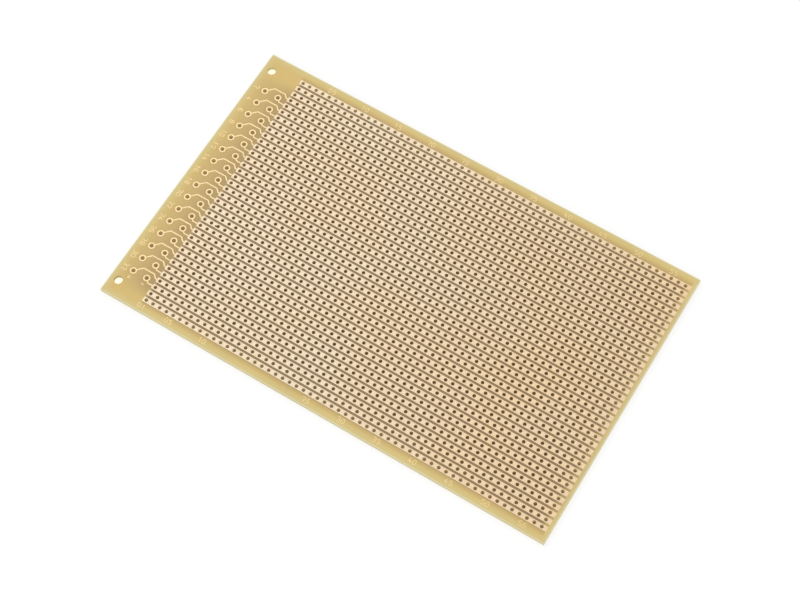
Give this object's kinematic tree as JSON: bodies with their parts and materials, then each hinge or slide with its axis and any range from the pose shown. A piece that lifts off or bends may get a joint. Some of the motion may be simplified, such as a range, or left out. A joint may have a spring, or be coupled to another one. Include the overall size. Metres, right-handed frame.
{
  "type": "prototype board",
  "caption": "Flat perforated laminate card with parallel copper strips, fanned out to a double row of plug pads at one end, with fixing holes in the plug-edge corners.",
  "frame": {"origin": "centre of the board's bare underside", "axes": "+X along the strips, away from the plug edge; +Z out of the copper side"},
  "size_m": [0.16, 0.1, 0.0015],
  "materials": {
    "laminate": "satin tan epoxy-glass laminate",
    "copper": "bare etched copper foil, bright and slightly scrubbed"
  },
  "bodies": {
    "root": {"laminate": "laminate", "copper_strip_01": "copper", "copper_strip_02": "copper", "copper_strip_03": "copper", "copper_strip_04": "copper", "copper_strip_05": "copper", "copper_strip_06": "copper", "copper_strip_07": "copper", "copper_strip_08": "copper", "copper_strip_09": "copper", "copper_strip_10": "copper", "copper_strip_11": "copper", "copper_strip_12": "copper", "copper_strip_13": "copper", "copper_strip_14": "copper", "copper_strip_15": "copper", "copper_strip_16": "copper", "copper_strip_17": "copper", "copper_strip_18": "copper", "copper_strip_19": "copper", "copper_strip_20": "copper", "copper_strip_21": "copper", "copper_strip_22": "copper", "copper_strip_23": "copper", "copper_strip_24": "copper", "copper_strip_25": "copper", "copper_strip_26": "copper", "copper_strip_27": "copper", "copper_strip_28": "copper", "copper_strip_29": "copper", "copper_strip_30": "copper", "copper_strip_31": "copper", "copper_strip_32": "copper", "copper_strip_33": "copper", "copper_strip_34": "copper", "copper_strip_35": "copper", "copper_strip_36": "copper", "copper_strip_37": "copper"}
  },
  "joints": []
}
